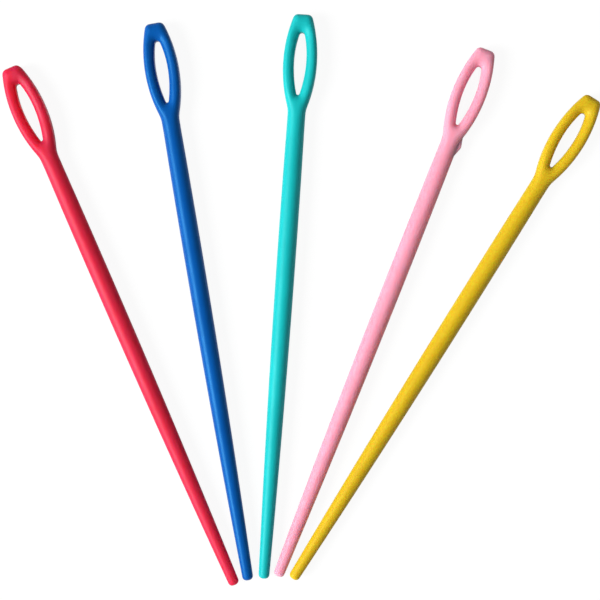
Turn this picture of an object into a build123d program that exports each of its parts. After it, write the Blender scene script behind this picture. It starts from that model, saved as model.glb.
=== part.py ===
from build123d import *

import math
import os

# A fan of five moulded plastic yarn needles, lying flat with their tips together.
# Millimetres. +X runs across the fan, +Y from the tips to the eyes, +Z up from the table.

# One needle, from its crown (the blunt end of the eye) to its tip
needle_length = 90.0
neck_diameter = 2.85
belly_swell = 0.15
belly_from_crown = 35.0
tip_diameter = 1.7
tip_round = 0.65

# The eye: its outline from above, its thickness, and the rounding of its blunt crown
eye_width = 5.35
eye_widest_from_crown = 7.6
eye_thickness = 3.0
crown_width = 2.75
crown_round = 0.6

# The neck: the hollow curve that ends at its thinnest place, and the way from there on which it
# grows fully round
neck_from_crown = 15.7
neck_blend_radius = 4.0
neck_to_round = 1.9

# The hole for the yarn, and the flat land between its crotch and the neck
hole_from_crown = 2.85
hole_width = 1.95
hole_widest_from_crown = 7.3
hole_top_radius = 0.45
hole_crotch_radius = 0.28
crotch_land = 0.95

# The stub that the mould's gate left beside the neck of one needle
gate_from_crown = 15.2
gate_length = 2.2
gate_slope_length = 1.0
gate_stand_out = 0.36
gate_thickness = 1.0
gate_round = 0.12
gated_needle = "pink_needle"

# The fan: the tips lie side by side with this gap between them
tip_gap = 0.6

# Each needle's tip, in steps of one tip and one gap from the middle tip, and its lean to the left
fan = {
    "red_needle": ((-2.01, -0.45), 23.4),
    "blue_needle": ((-1.08, -0.12), 9.5),
    "teal_needle": ((0.0, 0.0), -4.1),
    "pink_needle": ((0.99, 0.17), -21.6),
    "yellow_needle": ((2.02, -0.01), -31.95),
}

# The limbs beside the hole are rounded to these shares of their width, outside and inside, and
# the rims of the hole flare out a little less at its ends than at its sides
side_round_share = 0.49
rim_round_share = 0.47
end_flare_share = 0.9

# Where the needle is round, the corners of its cross-section take this share of its half width,
# so that the flats between them never quite vanish
full_round_share = 0.98

# The curves along the needle are drawn in a few straight steps, which keeps the model light
crown_steps = 2
side_steps = 4
neck_steps = 4
upper_shaft_steps = 1
lower_shaft_steps = 3
tip_steps = 2
rim_steps = 3

# Everything below follows from the sizes above
belly_diameter = neck_diameter + belly_swell
axis_height = max(belly_diameter, eye_thickness) / 2
tip_step = tip_diameter + tip_gap
round_from_crown = neck_from_crown + neck_to_round
limb_width = (eye_width - hole_width) / 2
side_round = limb_width * side_round_share
rim_round = limb_width * rim_round_share
crown_drop = (eye_width - crown_width) / 2
upper_side_radius = (eye_widest_from_crown**2 + crown_drop**2) / (2 * crown_drop)
neck_drop = (eye_width - neck_diameter) / 2
neck_reach = neck_from_crown - eye_widest_from_crown
lower_side_radius = (neck_reach**2 + neck_drop**2) / (2 * neck_drop) - neck_blend_radius
lower_side_reach = neck_reach * lower_side_radius / (lower_side_radius + neck_blend_radius)
eye_end_from_crown = eye_widest_from_crown + lower_side_reach
crotch_from_crown = eye_end_from_crown - crotch_land - rim_round


def along(from_crown):
    """The place along a needle, measured from its tip, of a distance from its crown."""
    return needle_length - from_crown


def arc_drop(radius, reach):
    """How far an arc has turned away from its tangent after a reach along it."""
    return radius - math.sqrt(radius**2 - reach**2)


def steps_between(start, end, count):
    """Equal steps from a start up to, but without, an end."""
    return [start + (end - start) * step / count for step in range(count)]


def shaft_diameter(from_crown):
    """The shaft's diameter: a long shallow spindle from the neck over the belly to the tip."""
    past_belly = from_crown - belly_from_crown
    if past_belly < 0:
        share = past_belly / (round_from_crown - belly_from_crown)
        return belly_diameter + (neck_diameter - belly_diameter) * share**2
    share = past_belly / (needle_length - belly_from_crown)
    return belly_diameter + (tip_diameter - belly_diameter) * share**2


def eye_width_at(from_crown):
    """The width of the eye and the neck: long arcs at the sides, then a hollow one into the neck."""
    if from_crown < eye_widest_from_crown:
        return eye_width - 2 * arc_drop(upper_side_radius, eye_widest_from_crown - from_crown)
    if from_crown < eye_end_from_crown:
        return eye_width - 2 * arc_drop(lower_side_radius, from_crown - eye_widest_from_crown)
    before_neck = max(neck_from_crown - from_crown, 0)
    return neck_diameter + 2 * arc_drop(neck_blend_radius, before_neck)


def cross_section(lying, from_crown, width, thickness, corner):
    """A cross-section of a needle: an oblong with round corners, square to the needle."""
    centre = lying.from_local_coords((0, along(from_crown), 0))
    across = Plane(origin=centre, x_dir=lying.x_dir, z_dir=-lying.y_dir)
    with BuildSketch(across) as section:
        RectangleRounded(width, thickness, corner)
    return section.sketch


def crown_sections(lying):
    """The crown, rounded over from its flat end to the eye's full thickness."""
    for angle in steps_between(math.pi / 2, 0, crown_steps):
        from_crown = crown_round * (1 - math.sin(angle))
        inset = crown_round * (1 - math.cos(angle))
        width = eye_width_at(from_crown) - 2 * inset
        thickness = eye_thickness - 2 * inset
        corner = side_round * thickness / eye_thickness
        yield cross_section(lying, from_crown, width, thickness, corner)


def eye_sections(lying):
    """The eye, from its crown over its widest place to its end at the neck."""
    above = steps_between(crown_round, eye_widest_from_crown, side_steps)
    below = steps_between(eye_widest_from_crown, eye_end_from_crown, side_steps)
    for from_crown in above + below:
        yield cross_section(lying, from_crown, eye_width_at(from_crown), eye_thickness, side_round)


def neck_sections(lying):
    """The neck, on its way from the eye's rounded oblong to the round shaft."""
    for share in steps_between(0, 1, neck_steps):
        from_crown = eye_end_from_crown + (round_from_crown - eye_end_from_crown) * share
        width = eye_width_at(from_crown)
        thickness = eye_thickness + (neck_diameter - eye_thickness) * share
        full_round = min(width, thickness) / 2 * full_round_share
        corner = side_round + (full_round - side_round) * share
        yield cross_section(lying, from_crown, width, thickness, corner)


def shaft_sections(lying):
    """The round shaft, and the blunt dome at its tip."""
    dome_from_crown = needle_length - tip_round
    upper = steps_between(round_from_crown, belly_from_crown, upper_shaft_steps)
    lower = steps_between(belly_from_crown, dome_from_crown, lower_shaft_steps)
    for from_crown in upper + lower:
        diameter = shaft_diameter(from_crown)
        yield cross_section(lying, from_crown, diameter, diameter, diameter / 2 * full_round_share)
    for angle in [*steps_between(0, math.pi / 2, tip_steps), math.pi / 2]:
        from_crown = dome_from_crown + tip_round * math.sin(angle)
        diameter = shaft_diameter(dome_from_crown) - 2 * tip_round * (1 - math.cos(angle))
        yield cross_section(lying, from_crown, diameter, diameter, diameter / 2 * full_round_share)


def hole_end(half_width, from_crown, end_radius):
    """Where the long side of the hole meets the small arc at its end."""
    past_widest = hole_widest_from_crown - from_crown
    reach = abs(past_widest) - end_radius
    side_radius = (reach**2 + half_width**2 - end_radius**2) / (2 * (half_width - end_radius))
    turn = math.asin(reach / (side_radius - end_radius))
    setback = end_radius * (1 - math.sin(turn))
    return (end_radius * math.cos(turn), along(from_crown) - math.copysign(setback, past_widest))


def hole_section(lying, height, flare):
    """The hole at a height: long arcs at its sides and a small one at each end, moved out by a flare."""
    half_width = hole_width / 2 + flare
    top_from_crown = hole_from_crown - flare * end_flare_share
    bottom_from_crown = crotch_from_crown + flare * end_flare_share
    side = (half_width, along(hole_widest_from_crown))
    top_join = hole_end(half_width, top_from_crown, hole_top_radius + flare)
    crotch_join = hole_end(half_width, bottom_from_crown, hole_crotch_radius + flare)
    with BuildSketch(lying.offset(height)) as section:
        with BuildLine():
            upper = TangentArc(side, top_join, tangent=(0, 1))
            TangentArc(top_join, (0, along(top_from_crown)), tangent=upper % 1)
            lower = TangentArc(side, crotch_join, tangent=(0, -1))
            TangentArc(crotch_join, (0, along(bottom_from_crown)), tangent=lower % 1)
            mirror(about=Plane.YZ)
        make_face()
    return section.sketch


def hole_sections(lying):
    """The hole from its lower rim to its upper one: straight in the middle, rounded out at both rims."""
    rim = []
    for angle in [*steps_between(0, math.pi / 2, rim_steps), math.pi / 2]:
        height = eye_thickness / 2 - rim_round * (1 - math.sin(angle))
        rim.append((height, rim_round * (1 - math.cos(angle))))
    lower_rim = [(-height, flare) for height, flare in reversed(rim)]
    return [hole_section(lying, height, flare) for height, flare in lower_rim + rim]


def gate_outline(lying):
    """The gate stub from above: a step at its upper end and a slope at its lower end."""
    top_y = along(gate_from_crown)
    bottom_y = top_y - gate_length
    outside = neck_diameter / 2 + gate_stand_out
    with BuildSketch(lying) as gate:
        Polygon(
            (0, top_y),
            (outside, top_y),
            (outside, bottom_y + gate_slope_length),
            (neck_diameter / 2, bottom_y),
            (0, bottom_y),
            align=None,
        )
        fillet(gate.vertices().group_by(Axis.X)[-1], gate_round)
    return gate.sketch


needles = {}
for name, ((step_x, step_y), lean) in fan.items():
    lying = Plane(
        origin=(tip_step * step_x, tip_step * step_y, axis_height),
        x_dir=Vector(1, 0, 0).rotate(Axis.Z, lean),
        z_dir=(0, 0, 1),
    )

    with BuildPart() as needle:
        # the outside, from the crown to the tip
        eye = [*crown_sections(lying), *eye_sections(lying)]
        shaft = [*neck_sections(lying), *shaft_sections(lying)]
        loft(eye + shaft, ruled=True)

        # the hole, with its rims rounded
        loft(hole_sections(lying), ruled=True, mode=Mode.SUBTRACT)

        # the gate stub, on one needle alone
        if name == gated_needle:
            extrude(gate_outline(lying), amount=gate_thickness / 2, both=True)

    needle.part.label = name
    needles[name] = needle.part

# The fan stands on the table, with the origin under its middle
fan_box = Compound(list(needles.values())).bounding_box()
to_origin = Location((-fan_box.center().X, -fan_box.center().Y, -fan_box.min.Z))

os.makedirs("parts", exist_ok=True)
for name, part in needles.items():
    placed = part.moved(to_origin)
    placed.label = name
    export_step(placed, f"parts/{name}.step")
    print(name, "volume", round(placed.volume, 2))
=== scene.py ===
import math

import bmesh
import bpy
from mathutils import Matrix, Vector


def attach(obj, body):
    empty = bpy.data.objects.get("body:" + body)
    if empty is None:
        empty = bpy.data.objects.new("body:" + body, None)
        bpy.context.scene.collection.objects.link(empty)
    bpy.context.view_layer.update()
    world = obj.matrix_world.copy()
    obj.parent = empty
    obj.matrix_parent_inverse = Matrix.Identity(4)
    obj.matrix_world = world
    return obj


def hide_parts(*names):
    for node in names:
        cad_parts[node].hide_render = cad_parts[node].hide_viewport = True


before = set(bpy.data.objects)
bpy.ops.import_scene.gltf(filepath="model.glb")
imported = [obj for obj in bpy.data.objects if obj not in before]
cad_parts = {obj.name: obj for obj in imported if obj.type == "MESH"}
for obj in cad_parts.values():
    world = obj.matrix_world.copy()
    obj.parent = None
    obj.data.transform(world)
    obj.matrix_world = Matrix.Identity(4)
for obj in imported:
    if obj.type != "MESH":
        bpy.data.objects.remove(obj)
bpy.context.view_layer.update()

# Five moulded plastic yarn needles, fanned out on a white table. Sizes and places are in millimetres,
# angles in degrees and colours in linear light, unless a comment says otherwise
MM = 0.001

# How the photograph was taken: through a long lens, from above and a degree or two off the vertical
CAMERA_PLACE = (7.86, 4.57, 266.79)
CAMERA_TURN = (-0.957, 1.701, -0.054)
LENS = 100.0
SENSOR = 36.0
CLOSEST_SEEN = 10.0

# The light: a soft box on the left, and a pale room. The room's light sinks from its low value at the
# horizon to its overhead one at a share of the height straight up, and it is seen paler than both
LEFT_LIGHT = {"azimuth": 195, "elevation": 38, "distance": 1200.0, "size": 620.0, "watts": 24.2}
ROOM_LIGHT_LOW = 0.62
ROOM_LIGHT_OVERHEAD = 0.04
ROOM_OVERHEAD_SHARE = 0.9
ROOM_SEEN = 0.97

# The table: how pale it is to the light, and how pale it is and how much it glows where it is seen
TABLE_SIZE = 1200.0
TABLE_GREY = 0.45
TABLE_GREY_SEEN = 0.075
TABLE_GLOW = 0.937
TABLE_ROUGHNESS = 0.9

# The fan: where each needle's tip lies, in steps of one tip and one gap from the teal needle's tip,
# and its lean to the left
FAN = {
    "red": ((-2.01, -0.45), 23.4),
    "blue": ((-1.08, -0.12), 9.5),
    "teal": ((0.0, 0.0), -4.1),
    "pink": ((0.99, 0.17), -21.6),
    "yellow": ((2.02, -0.01), -31.95),
}
TEAL_TIP = (-5.8587, -44.3484)
TIP_STEP = 2.3
AXIS_HEIGHT = 1.5
GATED_NEEDLE = "pink"

# One needle. Places along it are measured from its crown, the blunt end of the eye
NEEDLE_LENGTH = 90.0
EYE_HALF_WIDTH = 2.675
EYE_WIDEST = 7.6
EYE_HALF_THICKNESS = 1.5
CROWN_CORNER = 0.90
NECK = 15.7
NECK_HALF_WIDTH = 1.425
NECK_BLEND_RADIUS = 4.0
ROUND_START = 17.6
BELLY = 35.0
BELLY_RADIUS = 1.5
TIP_RADIUS = 0.85
TIP_ROUND = 0.65

# The long arc at the eye's side, and the place where it passes into the hollow arc of the neck
EYE_SIDE_RADIUS = 22.87
EYE_END = EYE_WIDEST + (NECK - EYE_WIDEST) * EYE_SIDE_RADIUS / (EYE_SIDE_RADIUS + NECK_BLEND_RADIUS)

# The hole for the yarn
HOLE_TOP = 2.85
HOLE_WIDEST = 7.3
HOLE_CROTCH = 12.745
HOLE_HALF_WIDTH = 0.975
HOLE_TOP_RADIUS = 0.45
HOLE_CROTCH_RADIUS = 0.28

# The rounding of the eye's outer edge: how far it reaches and how deep it goes at the sides and at the
# crown, the two places between which it passes from crown to side, and where it starts to grow fully round
OUTER_REACH = 0.70
OUTER_DEPTH = 0.78
CROWN_REACH = 1.15
CROWN_DEPTH = 0.95
CROWN_TO_SIDE = (0.6, 4.0)
OUTER_ROUNDING_START = 10.5

# The hole's dished rim: how far it reaches at the top, the sides and the crotch, how deep it goes, where
# the wide rim of the top ends, and where that of the crotch starts
RIM_REACH_TOP = 1.70
RIM_REACH_SIDE = 1.0
RIM_REACH_CROTCH = 1.3
RIM_DEPTH = 1.0
TOP_RIM_END = 5.0
CROTCH_RIM_START = 10.5

# The eye starts to thin this far before its end
THINNING_LENGTH = 2.0

# The stub that the mould's gate left on one needle: its corners from above, as the distance from the
# needle's axis and the place along it, then half its thickness and the round bevel of its edges
GATE_STUB = ((0.4, 14.0), (1.62, 14.2), (1.98, 15.9), (1.36, 17.6), (0.4, 17.8))
GATE_HALF_THICKNESS = 0.5
GATE_BEVEL = 0.24
GATE_BEVEL_STEPS = 4
GATE_BEVEL_PROFILE = 0.5

# How finely the mesh follows the eye. Its rays run from the hole to the outline, so the steps of one
# match those of the other: the neck's side and the hole's taper, both lower sides, both upper sides,
# and the crown and the hole's top
NECK_SIDE_STEPS = 6
LOWER_SIDE_STEPS = 9
UPPER_SIDE_STEPS = 8
CROWN_CORNER_STEPS = 5
CROWN_END_STEPS = 2
CROTCH_STEPS = 1
HOLE_TAPER_STEPS = NECK_SIDE_STEPS - CROTCH_STEPS
HOLE_TOP_STEPS = CROWN_CORNER_STEPS + CROWN_END_STEPS
HOLE_TAPER_END = 11.3
ACROSS_LIMB = (0, 0.012, 0.045, 0.10, 0.18, 0.28, 0.40, 0.52, 0.64, 0.75, 0.84, 0.91, 0.96, 0.99, 1)

# Distances on the eye are measured to outlines with this many times the steps, which go on this far down
# the shaft
FINER = 6
OUTLINE_START = 24.0
SHAFT_OUTLINE_STEPS = 12

# The neck's rays spread round the hole's crotch to this angle on both sides, in radians
CROTCH_FAN = math.radians(50)
NECK_STEPS = 14

# How finely the mesh follows the shaft and the dome at its tip, and the angle past which an edge is sharp
RING_STEPS = 18
DOME_STEPS = 6
SHARP_ANGLE = 50.0

# The skin that the needles share. A pattern's scale is the number of its waves to a metre: across the
# needle, along it and up. The scuffs' slant is in radians
STREAK_SCALE = (1800.0, 120.0, 1800.0)
STREAK_DETAIL = 3.0
CLOUD_SCALE = (160.0, 160.0, 160.0)
CLOUD_DETAIL = 2.0
SCUFF_SCALE = (2600.0, 420.0, 2600.0)
SCUFF_DETAIL = 4.0
SCUFF_DISTORTION = 0.6
SCUFF_SLANT = 0.35
GRAIN_SCALE = (9000.0, 9000.0, 9000.0)
GRAIN_DETAIL = 2.0

# How the patterns show: where the deep tone sets in and is at its most, and how much of it there is then;
# the same for the scuffs and the roughness that they add; and the roughness that the clouds take or add
DEEP_TONE_SHOWS = (0.12, 0.42)
DEEP_TONE_MOST = 0.35
SCUFFS_SHOW = (0.60, 0.72)
SCUFF_ROUGHNESS = 0.14
CLOUD_ROUGHNESS = (-0.05, 0.07)

# The parting line's crest and foot, by their distance from the needle's axis, and the heights of the line
# and the grain beside that of the streaks
PARTING_LINE = (0.02, 0.07)
PARTING_LINE_HEIGHT = 1.5
GRAIN_HEIGHT = 0.35
BUMP_STRENGTH = 0.25
BUMP_DEPTH = 0.01

# How the plastic bends light, and how far red, green and blue light seep into it beside each other
PLASTIC_IOR = 1.49
SEEPING_BY_COLOUR = (1.0, 0.6, 0.5)

# Each needle's plastic: its colour, the deeper tone of its streaks, the strength, tint and roughness
# of its shine, and how much light seeps into it and how deep
PLASTICS = {
    "red": {
        "colour": (0.625, 0.008, 0.052),
        "deep": (0.540, 0.004, 0.030),
        "shine": 0.32,
        "shine_tint": (0.45, 0.74, 0.82),
        "roughness": 0.50,
        "seeping": 1.0,
        "seeping_depth": 5.0,
    },
    "blue": {
        "colour": (0.002, 0.088, 0.365),
        "deep": (0.001, 0.056, 0.270),
        "shine": 0.27,
        "shine_tint": (0.14, 0.68, 1.0),
        "roughness": 0.36,
        "seeping": 0.20,
        "seeping_depth": 0.9,
    },
    "teal": {
        "colour": (0.006, 0.465, 0.470),
        "deep": (0.001, 0.320, 0.330),
        "shine": 0.27,
        "shine_tint": (0.45, 1.0, 1.0),
        "roughness": 0.46,
        "seeping": 0.20,
        "seeping_depth": 0.9,
    },
    "pink": {
        "colour": (0.850, 0.340, 0.455),
        "deep": (0.730, 0.250, 0.335),
        "shine": 0.28,
        "shine_tint": (1.0, 0.95, 1.0),
        "roughness": 0.50,
        "seeping": 0.70,
        "seeping_depth": 2.4,
    },
    "yellow": {
        "colour": (0.630, 0.435, 0.010),
        "deep": (0.540, 0.340, 0.003),
        "shine": 0.26,
        "shine_tint": (1.0, 0.97, 0.60),
        "roughness": 0.48,
        "seeping": 0.60,
        "seeping_depth": 2.0,
    },
}

# A mix node has its sockets for numbers, places and colours in a row. These are the ones for colours
MIX_FIRST_COLOUR = 6
MIX_SECOND_COLOUR = 7
MIXED_COLOUR = 2
WHITE = (1.0, 1.0, 1.0, 1.0)


def feed(value, socket):
    """Gives a node's input its value: another node's output, or a plain number, place or colour."""
    if isinstance(value, bpy.types.NodeSocket):
        socket.id_data.links.new(value, socket)
    else:
        socket.default_value = value


def sum_of(nodes, operation, *values):
    """The result of one step of arithmetic on outputs and plain numbers."""
    node = nodes.new("ShaderNodeMath")
    node.operation = operation
    for value, socket in zip(values, node.inputs):
        feed(value, socket)
    return node.outputs["Value"]


def ranged(nodes, value, start, end, low, high):
    """Goes from low to high while a value goes from a start to an end, and stays there beyond them."""
    node = nodes.new("ShaderNodeMapRange")
    feed(value, node.inputs["Value"])
    feed(start, node.inputs["From Min"])
    feed(end, node.inputs["From Max"])
    feed(low, node.inputs["To Min"])
    feed(high, node.inputs["To Max"])
    return node.outputs["Result"]


def pattern(nodes, place, scale, detail, distortion=0.0, slant=0.0):
    """A soft random pattern, drawn out by its scale and turned by a slant."""
    stretch = nodes.new("ShaderNodeMapping")
    feed(place, stretch.inputs["Vector"])
    feed((0.0, 0.0, slant), stretch.inputs["Rotation"])
    feed(scale, stretch.inputs["Scale"])
    noise = nodes.new("ShaderNodeTexNoise")
    feed(stretch.outputs["Vector"], noise.inputs["Vector"])
    feed(1.0, noise.inputs["Scale"])
    feed(detail, noise.inputs["Detail"])
    feed(distortion, noise.inputs["Distortion"])
    return noise.outputs["Fac"]


def moulded_plastic_group():
    """What every needle's plastic shares: flow streaks, clouds, scuffs, a fine grain and the parting line."""
    group = bpy.data.node_groups.new("moulded_plastic", "ShaderNodeTree")
    face = group.interface
    face.new_socket("Place", in_out="INPUT", socket_type="NodeSocketVector")
    face.new_socket("Colour", in_out="INPUT", socket_type="NodeSocketColor")
    face.new_socket("Deep Colour", in_out="INPUT", socket_type="NodeSocketColor")
    face.new_socket("Roughness", in_out="INPUT", socket_type="NodeSocketFloat")
    face.new_socket("Colour", in_out="OUTPUT", socket_type="NodeSocketColor")
    face.new_socket("Roughness", in_out="OUTPUT", socket_type="NodeSocketFloat")
    face.new_socket("Height", in_out="OUTPUT", socket_type="NodeSocketFloat")
    nodes = group.nodes
    given = nodes.new("NodeGroupInput").outputs
    result = nodes.new("NodeGroupOutput").inputs

    place = given["Place"]
    streaks = pattern(nodes, place, STREAK_SCALE, STREAK_DETAIL)
    clouds = pattern(nodes, place, CLOUD_SCALE, CLOUD_DETAIL)
    scuffs = pattern(nodes, place, SCUFF_SCALE, SCUFF_DETAIL, SCUFF_DISTORTION, SCUFF_SLANT)
    grain = pattern(nodes, place, GRAIN_SCALE, GRAIN_DETAIL)

    # colour: the deep tone shows where streaks and clouds meet
    meeting = sum_of(nodes, "MULTIPLY", streaks, clouds)
    tone = nodes.new("ShaderNodeMix")
    tone.data_type = "RGBA"
    feed(ranged(nodes, meeting, *DEEP_TONE_SHOWS, 0.0, DEEP_TONE_MOST), tone.inputs["Factor"])
    feed(given["Colour"], tone.inputs[MIX_FIRST_COLOUR])
    feed(given["Deep Colour"], tone.inputs[MIX_SECOND_COLOUR])
    feed(tone.outputs[MIXED_COLOUR], result["Colour"])

    # roughness: the scuffs are a little duller than the skin round them, and the clouds make it patchy
    scuff_roughness = ranged(nodes, scuffs, *SCUFFS_SHOW, 0.0, SCUFF_ROUGHNESS)
    scuffed = sum_of(nodes, "ADD", given["Roughness"], scuff_roughness)
    patchy = ranged(nodes, clouds, 0.0, 1.0, *CLOUD_ROUGHNESS)
    feed(sum_of(nodes, "ADD", scuffed, patchy), result["Roughness"])

    # height: the grain over the streaks, and the mould's parting line all round at the height of the axis
    place_parts = nodes.new("ShaderNodeSeparateXYZ")
    feed(place, place_parts.inputs["Vector"])
    above_axis = sum_of(nodes, "SUBTRACT", place_parts.outputs["Z"], AXIS_HEIGHT * MM)
    from_axis = sum_of(nodes, "ABSOLUTE", above_axis)
    crest, foot = PARTING_LINE
    parting_line = ranged(nodes, from_axis, crest * MM, foot * MM, 1.0, 0.0)
    grained = sum_of(nodes, "MULTIPLY_ADD", grain, GRAIN_HEIGHT, streaks)
    feed(sum_of(nodes, "MULTIPLY_ADD", parting_line, PARTING_LINE_HEIGHT, grained), result["Height"])
    return group


def plastic_material(name, group):
    """One needle's moulded plastic."""
    look = PLASTICS[name]
    lean = FAN[name][1]
    material = bpy.data.materials.new(f"{name}_plastic")
    material.use_nodes = True
    nodes = material.node_tree.nodes
    shader = nodes["Principled BSDF"].inputs
    feed(PLASTIC_IOR, shader["IOR"])
    feed(look["shine"], shader["Specular IOR Level"])
    feed((*look["shine_tint"], 1.0), shader["Specular Tint"])
    feed(look["seeping"], shader["Subsurface Weight"])
    feed(SEEPING_BY_COLOUR, shader["Subsurface Radius"])
    feed(look["seeping_depth"] * MM, shader["Subsurface Scale"])

    # the skin's patterns lie along the needle
    place = nodes.new("ShaderNodeTexCoord")
    turn = nodes.new("ShaderNodeMapping")
    feed(place.outputs["Object"], turn.inputs["Vector"])
    feed((0.0, 0.0, -math.radians(lean)), turn.inputs["Rotation"])
    skin = nodes.new("ShaderNodeGroup")
    skin.node_tree = group
    feed(turn.outputs["Vector"], skin.inputs["Place"])
    feed((*look["colour"], 1.0), skin.inputs["Colour"])
    feed((*look["deep"], 1.0), skin.inputs["Deep Colour"])
    feed(look["roughness"], skin.inputs["Roughness"])
    feed(skin.outputs["Colour"], shader["Base Color"])
    feed(skin.outputs["Roughness"], shader["Roughness"])
    bump = nodes.new("ShaderNodeBump")
    feed(BUMP_STRENGTH, bump.inputs["Strength"])
    feed(BUMP_DEPTH * MM, bump.inputs["Distance"])
    feed(skin.outputs["Height"], bump.inputs["Height"])
    feed(bump.outputs["Normal"], shader["Normal"])
    return material


def between(start, end, steps):
    """Equal steps from a start up to, but without, an end."""
    return [start + (end - start) * step / steps for step in range(steps)]


def eased(value, start, end):
    """0 at a start, 1 at an end, with a soft way between them."""
    share = min(max((value - start) / (end - start), 0.0), 1.0)
    return share * share * (3 - 2 * share)


def mixed(start, end, share):
    """The value that lies a share of the way from a start to an end."""
    return start + (end - start) * share


def arc_drop(radius, reach):
    """How far an arc has turned away from its tangent after a reach along it."""
    return radius - math.sqrt(radius**2 - reach**2)


def eye_half_width(place):
    """Half the width of the eye and the neck."""
    if place < EYE_END:
        return EYE_HALF_WIDTH - arc_drop(EYE_SIDE_RADIUS, place - EYE_WIDEST)
    return NECK_HALF_WIDTH + arc_drop(NECK_BLEND_RADIUS, max(NECK - place, 0.0))


def shaft_radius(place):
    """The shaft's radius: a long shallow spindle."""
    if place < BELLY:
        return mixed(BELLY_RADIUS, NECK_HALF_WIDTH, ((BELLY - place) / (BELLY - ROUND_START))**2)
    return mixed(BELLY_RADIUS, TIP_RADIUS, ((place - BELLY) / (NEEDLE_LENGTH - BELLY))**2)


def eye_outline(finer=1):
    """The right half of the eye's outline from above, from the round shaft to the middle of the crown."""
    corner_reach = EYE_SIDE_RADIUS - CROWN_CORNER
    turn = math.asin((EYE_WIDEST - CROWN_CORNER) / corner_reach)
    corner_x = EYE_HALF_WIDTH - EYE_SIDE_RADIUS + corner_reach * math.cos(turn)
    corner_place = EYE_WIDEST - EYE_SIDE_RADIUS * math.sin(turn)
    places = between(ROUND_START, EYE_END, NECK_SIDE_STEPS * finer)
    places += between(EYE_END, EYE_WIDEST, LOWER_SIDE_STEPS * finer)
    places += between(EYE_WIDEST, corner_place, UPPER_SIDE_STEPS * finer)
    points = [(eye_half_width(place), place) for place in places]
    for angle in between(turn, math.pi / 2, CROWN_CORNER_STEPS * finer):
        points.append((corner_x + CROWN_CORNER * math.cos(angle), CROWN_CORNER * (1 - math.sin(angle))))
    points += [(x, 0.0) for x in between(corner_x, 0.0, CROWN_END_STEPS * finer)]
    return points + [(0.0, 0.0)]


def hole_end(end_place, end_radius):
    """The radius of the hole's long side, its turn and its place where it meets the small arc at one end."""
    reach = abs(end_place - HOLE_WIDEST) - end_radius
    side_radius = (reach**2 + HOLE_HALF_WIDTH**2 - end_radius**2) / (2 * (HOLE_HALF_WIDTH - end_radius))
    turn = math.asin(reach / (side_radius - end_radius))
    setback = end_radius * (1 - math.sin(turn))
    return side_radius, turn, end_place - math.copysign(setback, end_place - HOLE_WIDEST)


def hole_side(place, side_radius):
    """A point on the hole's long side."""
    return (HOLE_HALF_WIDTH - arc_drop(side_radius, place - HOLE_WIDEST), place)


def crotch_point(angle):
    """A point on the hole's small lower arc, by its angle from straight down."""
    return (HOLE_CROTCH_RADIUS * math.sin(angle), HOLE_CROTCH - HOLE_CROTCH_RADIUS * (1 - math.cos(angle)))


def top_point(angle):
    """A point on the hole's small upper arc, by its angle from straight up."""
    return (HOLE_TOP_RADIUS * math.sin(angle), HOLE_TOP + HOLE_TOP_RADIUS * (1 - math.cos(angle)))


def hole_outline(finer=1):
    """The right half of the hole's outline, from the last ray of the neck to the middle of its top."""
    lower_radius, lower_turn, lower_join = hole_end(HOLE_CROTCH, HOLE_CROTCH_RADIUS)
    upper_radius, upper_turn, upper_join = hole_end(HOLE_TOP, HOLE_TOP_RADIUS)
    lower_places = between(lower_join, HOLE_TAPER_END, HOLE_TAPER_STEPS * finer)
    lower_places += between(HOLE_TAPER_END, HOLE_WIDEST, LOWER_SIDE_STEPS * finer)
    upper_places = between(HOLE_WIDEST, upper_join, UPPER_SIDE_STEPS * finer)
    crotch_angles = between(CROTCH_FAN, math.pi / 2 - lower_turn, CROTCH_STEPS * finer)
    top_angles = between(math.pi / 2 - upper_turn, 0.0, HOLE_TOP_STEPS * finer)
    points = [crotch_point(angle) for angle in crotch_angles]
    points += [hole_side(place, lower_radius) for place in lower_places]
    points += [hole_side(place, upper_radius) for place in upper_places]
    return points + [top_point(angle) for angle in top_angles] + [top_point(0.0)]


def nearest(x, place, outline):
    """The distance from a point to an outline, and where along the needle the nearest point is."""
    best = (math.inf, 0.0)
    for (start_x, start_place), (end_x, end_place) in zip(outline, outline[1:]):
        run_x = end_x - start_x
        run = end_place - start_place
        share = ((x - start_x) * run_x + (place - start_place) * run) / (run_x**2 + run**2)
        share = min(max(share, 0.0), 1.0)
        near_place = start_place + run * share
        distance = math.hypot(x - start_x - run_x * share, place - near_place)
        best = min(best, (distance, near_place))
    return best


def rounded_drop(distance, reach, depth):
    """How far a rounded edge lies below the face that it rounds."""
    share = 1 - min(distance / reach, 1.0)
    return depth * arc_drop(1.0, share)


def outer_round(place):
    """The reach and depth of the outer edge's rounding, from the crown until the needle is fully round."""
    past_crown = eased(place, *CROWN_TO_SIDE)
    to_round = eased(place, OUTER_ROUNDING_START, ROUND_START)
    reach = mixed(CROWN_REACH, OUTER_REACH, past_crown)
    depth = mixed(CROWN_DEPTH, OUTER_DEPTH, past_crown)
    return mixed(reach, NECK_HALF_WIDTH, to_round), mixed(depth, NECK_HALF_WIDTH, to_round)


def rim_reach(place):
    """How far the hole's dished rim reaches, by the nearest place on the hole."""
    upper_reach = mixed(RIM_REACH_TOP, RIM_REACH_SIDE, eased(place, HOLE_TOP, TOP_RIM_END))
    return mixed(upper_reach, RIM_REACH_CROTCH, eased(place, CROTCH_RIM_START, HOLE_CROTCH))


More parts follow.
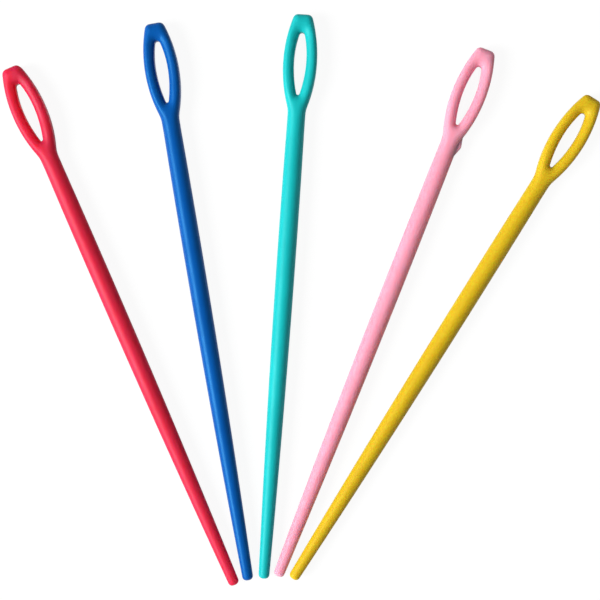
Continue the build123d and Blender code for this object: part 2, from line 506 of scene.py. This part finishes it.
def eye_height(x, place, outer, hole):
    """The height of the eye's upper face above the needle's axis."""
    thinning = eased(place, EYE_END - THINNING_LENGTH, ROUND_START)
    half_thickness = mixed(EYE_HALF_THICKNESS, NECK_HALF_WIDTH, thinning)
    from_outside = nearest(abs(x), place, outer)[0]
    from_hole, hole_place = nearest(abs(x), place, hole)
    outside = rounded_drop(from_outside, *outer_round(place))
    inside = rounded_drop(from_hole, rim_reach(hole_place), RIM_DEPTH)
    return half_thickness - outside - inside


def limb_ray(start, end):
    """The places on one ray, closer together near its ends."""
    return [Vector(start).lerp(end, share) for share in ACROSS_LIMB]


def right_limb_rays(inset_share):
    """The rays of the eye's right limb, which end inside the outline by a share of its rounding's reach."""
    outline = [Vector(point) for point in eye_outline()]
    before = [outline[0] + Vector((0, 1))] + outline
    rays = []
    for inside, last, outside, following in zip(hole_outline(), before, outline, outline[1:]):
        along = (following - last).normalized()
        inset = outer_round(outside.y)[0] * inset_share
        rays.append(limb_ray(inside, outside + Vector((along.y, -along.x)) * inset))
    crown_inset = outer_round(0.0)[0] * inset_share
    rays.append(limb_ray(top_point(0.0), Vector((0.0, crown_inset))))
    return rays


def neck_rays(neck_angles):
    """The rays that fan out from the hole's crotch over the neck, from left to right."""
    rays = []
    for step in range(NECK_STEPS - 1, 0, -1):
        start = crotch_point(CROTCH_FAN * (1 - 2 * step / NECK_STEPS))
        end = Vector((NECK_HALF_WIDTH * math.cos(neck_angles[step]), ROUND_START))
        rays.append(limb_ray(start, end))
    return rays


def eye_rays(neck_angles):
    """The eye's upper face as rays from the hole to its outline, all the way round the hole."""
    right = right_limb_rays(1 - math.cos(neck_angles[0]))
    left = [[Vector((-point.x, point.y)) for point in ray] for ray in reversed(right[:-1])]

    shaft_places = between(OUTLINE_START, ROUND_START, SHAFT_OUTLINE_STEPS)
    outer_line = [(NECK_HALF_WIDTH, place) for place in shaft_places] + eye_outline(FINER)
    crotch_angles = between(0.0, CROTCH_FAN, FINER)
    hole_line = [crotch_point(angle) for angle in crotch_angles] + hole_outline(FINER)
    rays = []
    for ray in right + left + neck_rays(neck_angles):
        rays.append([(x, place, eye_height(x, place, outer_line, hole_line)) for x, place in ray])
    return rays


def shaft_rings():
    """The place and radius of each ring of the round shaft and of the dome at its tip."""
    dome_start = NEEDLE_LENGTH - TIP_ROUND
    rings = [(place, shaft_radius(place)) for place in between(ROUND_START, dome_start, RING_STEPS)[1:]]
    for turn in between(0.0, math.pi / 2, DOME_STEPS) + [math.pi / 2]:
        radius = shaft_radius(dome_start) - TIP_ROUND * (1 - math.cos(turn))
        rings.append((dome_start + TIP_ROUND * math.sin(turn), radius))
    return rings


def needle_shape():
    """The points and faces of one needle: across it, along it from its tip, and up from its axis."""
    first_angle = math.pi / (2 * NECK_STEPS + 2)
    neck_angles = between(first_angle, math.pi - first_angle, NECK_STEPS) + [math.pi - first_angle]
    rays = eye_rays(neck_angles)
    across = len(ACROSS_LIMB)
    points = [(x, NEEDLE_LENGTH - place, height) for ray in rays for x, place, height in ray]
    upper_count = len(points)
    points += [(x, y, -height) for x, y, height in points]

    # the eye's two faces, the wall of the hole and the wall round both limbs
    faces = []
    limb_ray_count = len(rays) - (NECK_STEPS - 1)
    for ray in range(len(rays)):
        here = ray * across
        beyond = (ray + 1) % len(rays) * across
        for step in range(across - 1):
            face = (here + step, here + step + 1, beyond + step + 1, beyond + step)
            faces.append(face)
            faces.append(tuple(corner + upper_count for corner in reversed(face)))
        faces.append((here, beyond, beyond + upper_count, here + upper_count))
        if ray < limb_ray_count - 1:
            edge = here + across - 1
            edge_beyond = beyond + across - 1
            faces.append((edge_beyond, edge, edge + upper_count, edge_beyond + upper_count))

    # the ring where the neck is round: over the top from right to left, and back underneath
    over = [0] + [len(rays) - step for step in range(1, NECK_STEPS)] + [limb_ray_count - 1]
    ring = [ray * across + across - 1 for ray in over]
    ring += [corner + upper_count for corner in reversed(ring)]
    angles = neck_angles + [2 * math.pi - angle for angle in reversed(neck_angles)]

    # the shaft and the dome, ring by ring, and the fan of faces that closes the tip
    for place, radius in shaft_rings():
        first = len(points)
        points += [(radius * math.cos(a), NEEDLE_LENGTH - place, radius * math.sin(a)) for a in angles]
        lower_ring = list(range(first, len(points)))
        for step in range(len(ring)):
            after = (step + 1) % len(ring)
            faces.append((ring[step], ring[after], lower_ring[after], lower_ring[step]))
        ring = lower_ring
    points.append((0.0, 0.0, 0.0))
    for step in range(len(ring)):
        faces.append((ring[step], ring[(step + 1) % len(ring)], len(points) - 1))
    return points, faces


def add_gate_stub(mesh):
    """Adds the small stub that the gate left: a flat wedge with bevelled edges, rooted in the neck."""
    stub = [mesh.verts.new((x, NEEDLE_LENGTH - place, -GATE_HALF_THICKNESS)) for x, place in GATE_STUB]
    lower = mesh.faces.new(stub)
    raised = bmesh.ops.extrude_face_region(mesh, geom=[lower])["geom"]
    upper = [item for item in raised if isinstance(item, bmesh.types.BMVert)]
    bmesh.ops.translate(mesh, verts=upper, vec=(0, 0, 2 * GATE_HALF_THICKNESS))
    edges = list({edge for corner in stub + upper for edge in corner.link_edges})
    bmesh.ops.bevel(
        mesh,
        geom=edges,
        offset=GATE_BEVEL,
        segments=GATE_BEVEL_STEPS,
        profile=GATE_BEVEL_PROFILE,
        affect="EDGES",
    )


def build_needle(name, shape):
    """One needle of the fan, as a smooth mesh that stands for its solid."""
    (step_x, step_y), lean = FAN[name]
    tip = (TEAL_TIP[0] + TIP_STEP * step_x, TEAL_TIP[1] + TIP_STEP * step_y, AXIS_HEIGHT)
    points, faces = shape
    mesh = bmesh.new()
    corners = [mesh.verts.new(point) for point in points]
    for face in faces:
        mesh.faces.new([corners[corner] for corner in face])
    if name == GATED_NEEDLE:
        add_gate_stub(mesh)
    bmesh.ops.recalc_face_normals(mesh, faces=mesh.faces)
    lying = Matrix.Translation(tip) @ Matrix.Rotation(math.radians(lean), 4, "Z")
    bmesh.ops.transform(mesh, matrix=Matrix.Scale(MM, 4) @ lying, verts=mesh.verts)
    data = bpy.data.meshes.new(f"{name}_moulded_needle")
    mesh.to_mesh(data)
    mesh.free()
    data.shade_smooth()
    data.set_sharp_from_angle(angle=math.radians(SHARP_ANGLE))
    needle = bpy.data.objects.new(f"{name}_moulded_needle", data)
    bpy.context.scene.collection.objects.link(needle)
    return needle


def dress_needles():
    """Builds each needle and gives it its plastic."""
    group = moulded_plastic_group()
    shape = needle_shape()
    for name in FAN:
        needle = build_needle(name, shape)
        needle.data.materials.append(plastic_material(name, group))
        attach(needle, name)
        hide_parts(f"{name}_needle")


def background_ray(nodes):
    """1 for the rays that show the background as it is: the camera's, and those sent on by shine or glass."""
    path = nodes.new("ShaderNodeLightPath").outputs
    sent_on = sum_of(nodes, "MAXIMUM", path["Is Glossy Ray"], path["Is Transmission Ray"])
    return sum_of(nodes, "MAXIMUM", path["Is Camera Ray"], sent_on)


def table_top():
    """A plain white table, which glows white where it is seen and still takes a faint shadow."""
    bpy.ops.mesh.primitive_plane_add(size=TABLE_SIZE * MM, location=(0, 0, 0))
    top = bpy.context.object
    top.name = "table_top"
    material = bpy.data.materials.new("white_table")
    material.use_nodes = True
    nodes = material.node_tree.nodes
    shader = nodes["Principled BSDF"].inputs
    feed(TABLE_ROUGHNESS, shader["Roughness"])
    feed(0.0, shader["Specular IOR Level"])
    feed(WHITE, shader["Emission Color"])
    seen = background_ray(nodes)
    feed(ranged(nodes, seen, 0.0, 1.0, TABLE_GREY, TABLE_GREY_SEEN), shader["Base Color"])
    feed(sum_of(nodes, "MULTIPLY", seen, TABLE_GLOW), shader["Emission Strength"])
    top.data.materials.append(material)


def soft_light(name, azimuth, elevation, distance, size, watts):
    """A square soft lamp, turned to the middle of the fan."""
    lamp = bpy.data.lights.new(name, "AREA")
    lamp.shape = "SQUARE"
    lamp.size = size * MM
    lamp.energy = watts
    holder = bpy.data.objects.new(name, lamp)
    turn = math.radians(azimuth)
    rise = math.radians(elevation)
    away = Vector((math.cos(turn) * math.cos(rise), math.sin(turn) * math.cos(rise), math.sin(rise)))
    holder.location = away * distance * MM
    holder.rotation_euler = (-away).to_track_quat("-Z", "Y").to_euler()
    bpy.context.scene.collection.objects.link(holder)


def pale_room():
    """The world: a white room, whose light comes from low down rather than from overhead."""
    world = bpy.data.worlds.new("pale_room")
    world.use_nodes = True
    nodes = world.node_tree.nodes
    room = nodes["Background"].inputs
    feed(WHITE, room["Color"])
    parts = nodes.new("ShaderNodeSeparateXYZ")
    feed(nodes.new("ShaderNodeTexCoord").outputs["Generated"], parts.inputs["Vector"])
    rise = parts.outputs["Z"]
    light = ranged(nodes, rise, 0.0, ROOM_OVERHEAD_SHARE, ROOM_LIGHT_LOW, ROOM_LIGHT_OVERHEAD)
    strength = nodes.new("ShaderNodeMix")
    feed(background_ray(nodes), strength.inputs["Factor"])
    feed(light, strength.inputs["A"])
    feed(ROOM_SEEN, strength.inputs["B"])
    feed(strength.outputs["Result"], room["Strength"])
    bpy.context.scene.world = world


def camera():
    """The photograph's camera."""
    lens = bpy.data.cameras.new("photo_camera")
    lens.type = "PERSP"
    lens.lens = LENS
    lens.sensor_width = SENSOR
    lens.clip_start = CLOSEST_SEEN * MM
    holder = bpy.data.objects.new("photo_camera", lens)
    holder.location = Vector(CAMERA_PLACE) * MM
    holder.rotation_euler = [math.radians(angle) for angle in CAMERA_TURN]
    bpy.context.scene.collection.objects.link(holder)
    bpy.context.scene.camera = holder


dress_needles()
table_top()
soft_light("left_soft_box", **LEFT_LIGHT)
pale_room()
camera()
bpy.context.scene.view_settings.view_transform = "Standard"
